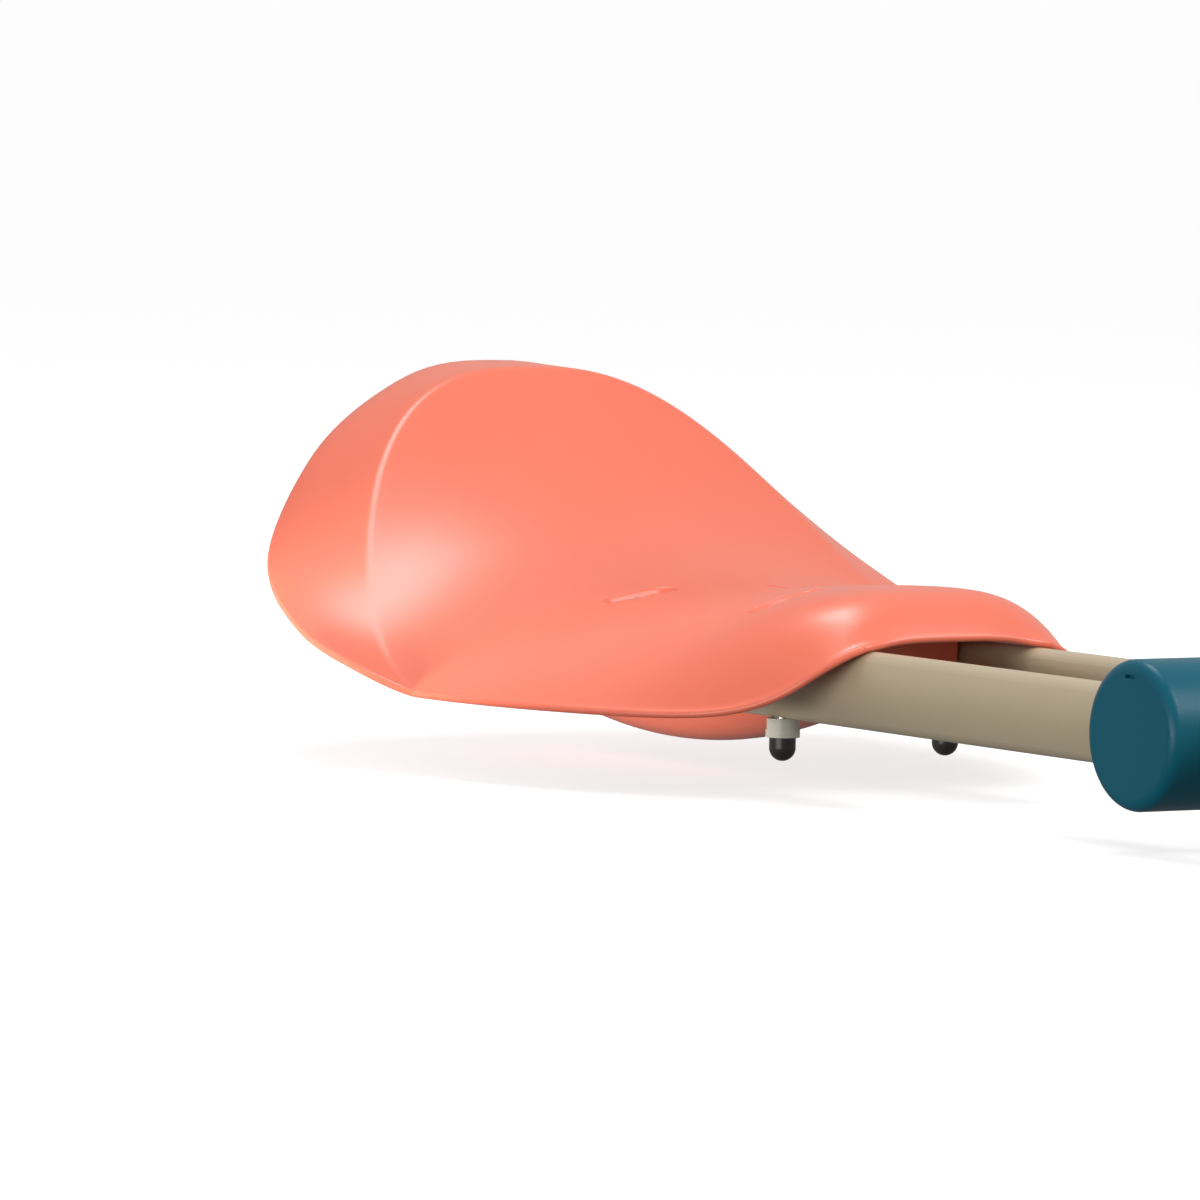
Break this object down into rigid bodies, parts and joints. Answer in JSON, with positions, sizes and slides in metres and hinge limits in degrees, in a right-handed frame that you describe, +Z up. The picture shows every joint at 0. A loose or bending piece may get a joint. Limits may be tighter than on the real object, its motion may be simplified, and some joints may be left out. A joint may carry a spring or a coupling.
{
  "type": "scoop stretcher",
  "caption": "Two-piece scoop stretcher with a moulded head scoop on twin oval tubes, a cross hub, swinging side frames, coral panels and telescoping leg sections.",
  "frame": {"origin": "on the floor, under the middle of the stretcher", "axes": "+X to the head scoop, +Y to the right-hand half, +Z up"},
  "size_m": [1.8797, 0.464, 0.1781],
  "materials": {
    "coral_shell": "satin moulded",
    "beige_tube": "satin powder coat",
    "teal_shell": "satin moulded",
    "bare_aluminium": "satin anodised",
    "steel": "zinc plated",
    "grey_sleeve": "moulded",
    "black_cap": "moulded",
    "black_rubber": "matte",
    "bronze": "sintered"
  },
  "bodies": {
    "head_section": {"head_scoop": "coral_shell", "scoop_keel": "coral_shell", "scoop_spacers": "black_cap", "scoop_screws": "steel", "scoop_sleeves": "grey_sleeve", "scoop_cap_nuts": "black_cap", "scoop_inserts": "bronze", "head_tube_right": "beige_tube", "head_tube_left": "beige_tube", "head_tube_plugs": "black_cap", "hub_shell_right": "teal_shell", "hub_shell_left": "teal_shell", "hub_core": "bare_aluminium", "hub_grub_screws": "steel", "stub_tube_right": "beige_tube", "stub_tube_left": "beige_tube", "pivot_clevises": "bare_aluminium", "pivot_pins": "steel"},
    "frame_right": {"rail_right": "beige_tube", "pivot_eye_right": "bare_aluminium", "pivot_bush_right": "bronze", "shoulder_panel_right": "coral_shell", "back_panel_right": "coral_shell", "seat_panel_right": "coral_shell", "panel_bolts_right": "steel", "panel_sleeves_right": "grey_sleeve", "panel_cap_nuts_right": "black_cap", "rail_feet_right": "black_rubber", "clamp_collar_right": "black_cap", "clamp_pin_right": "steel"},
    "frame_left": {"rail_left": "beige_tube", "pivot_eye_left": "bare_aluminium", "pivot_bush_left": "bronze", "shoulder_panel_left": "coral_shell", "back_panel_left": "coral_shell", "seat_panel_left": "coral_shell", "panel_bolts_left": "steel", "panel_sleeves_left": "grey_sleeve", "panel_cap_nuts_left": "black_cap", "rail_feet_left": "black_rubber", "clamp_collar_left": "black_cap", "clamp_pin_left": "steel"},
    "leg_right": {"leg_tube_right": "bare_aluminium", "leg_panel_right": "coral_shell", "leg_bolts_right": "steel", "leg_cap_nuts_right": "black_cap", "leg_feet_right": "black_rubber", "foot_grip_right": "black_rubber", "coupling_fork": "black_cap"},
    "leg_left": {"leg_tube_left": "bare_aluminium", "leg_panel_left": "coral_shell", "leg_bolts_left": "steel", "leg_cap_nuts_left": "black_cap", "leg_feet_left": "black_rubber", "foot_grip_left": "black_rubber", "coupling_tongue": "bare_aluminium"},
    "lever_right": {"clamp_lever_right": "teal_shell"},
    "lever_left": {"clamp_lever_left": "teal_shell"},
    "latch": {"latch_pin": "steel", "latch_knob": "teal_shell"}
  },
  "joints": [
    {"name": "right_swing", "type": "hinge", "parent": "head_section", "child": "frame_right", "pos_m": [0.219, 0.044, 0.05], "axis": [0, 0, 1], "range_deg": [-20, 0]},
    {"name": "left_swing", "type": "hinge", "parent": "head_section", "child": "frame_left", "pos_m": [0.219, -0.044, 0.05], "axis": [0, 0, 1], "range_deg": [0, 20]},
    {"name": "right_leg_slide", "type": "slide", "parent": "frame_right", "child": "leg_right", "axis": [-1, 0, 0], "range_m": [0, 0.13]},
    {"name": "left_leg_slide", "type": "slide", "parent": "frame_left", "child": "leg_left", "axis": [-1, 0, 0], "range_m": [0, 0.13]},
    {"name": "right_clamp_lever", "type": "hinge", "parent": "frame_right", "child": "lever_right", "pos_m": [-0.554, 0.226, 0.05], "axis": [0, 0, 1], "range_deg": [0, 110]},
    {"name": "left_clamp_lever", "type": "hinge", "parent": "frame_left", "child": "lever_left", "pos_m": [-0.554, -0.226, 0.05], "axis": [0, 0, 1], "range_deg": [-110, 0]},
    {"name": "latch_drop", "type": "slide", "parent": "leg_right", "child": "latch", "axis": [0, 0, -1], "range_m": [0, 0.012]}
  ]
}
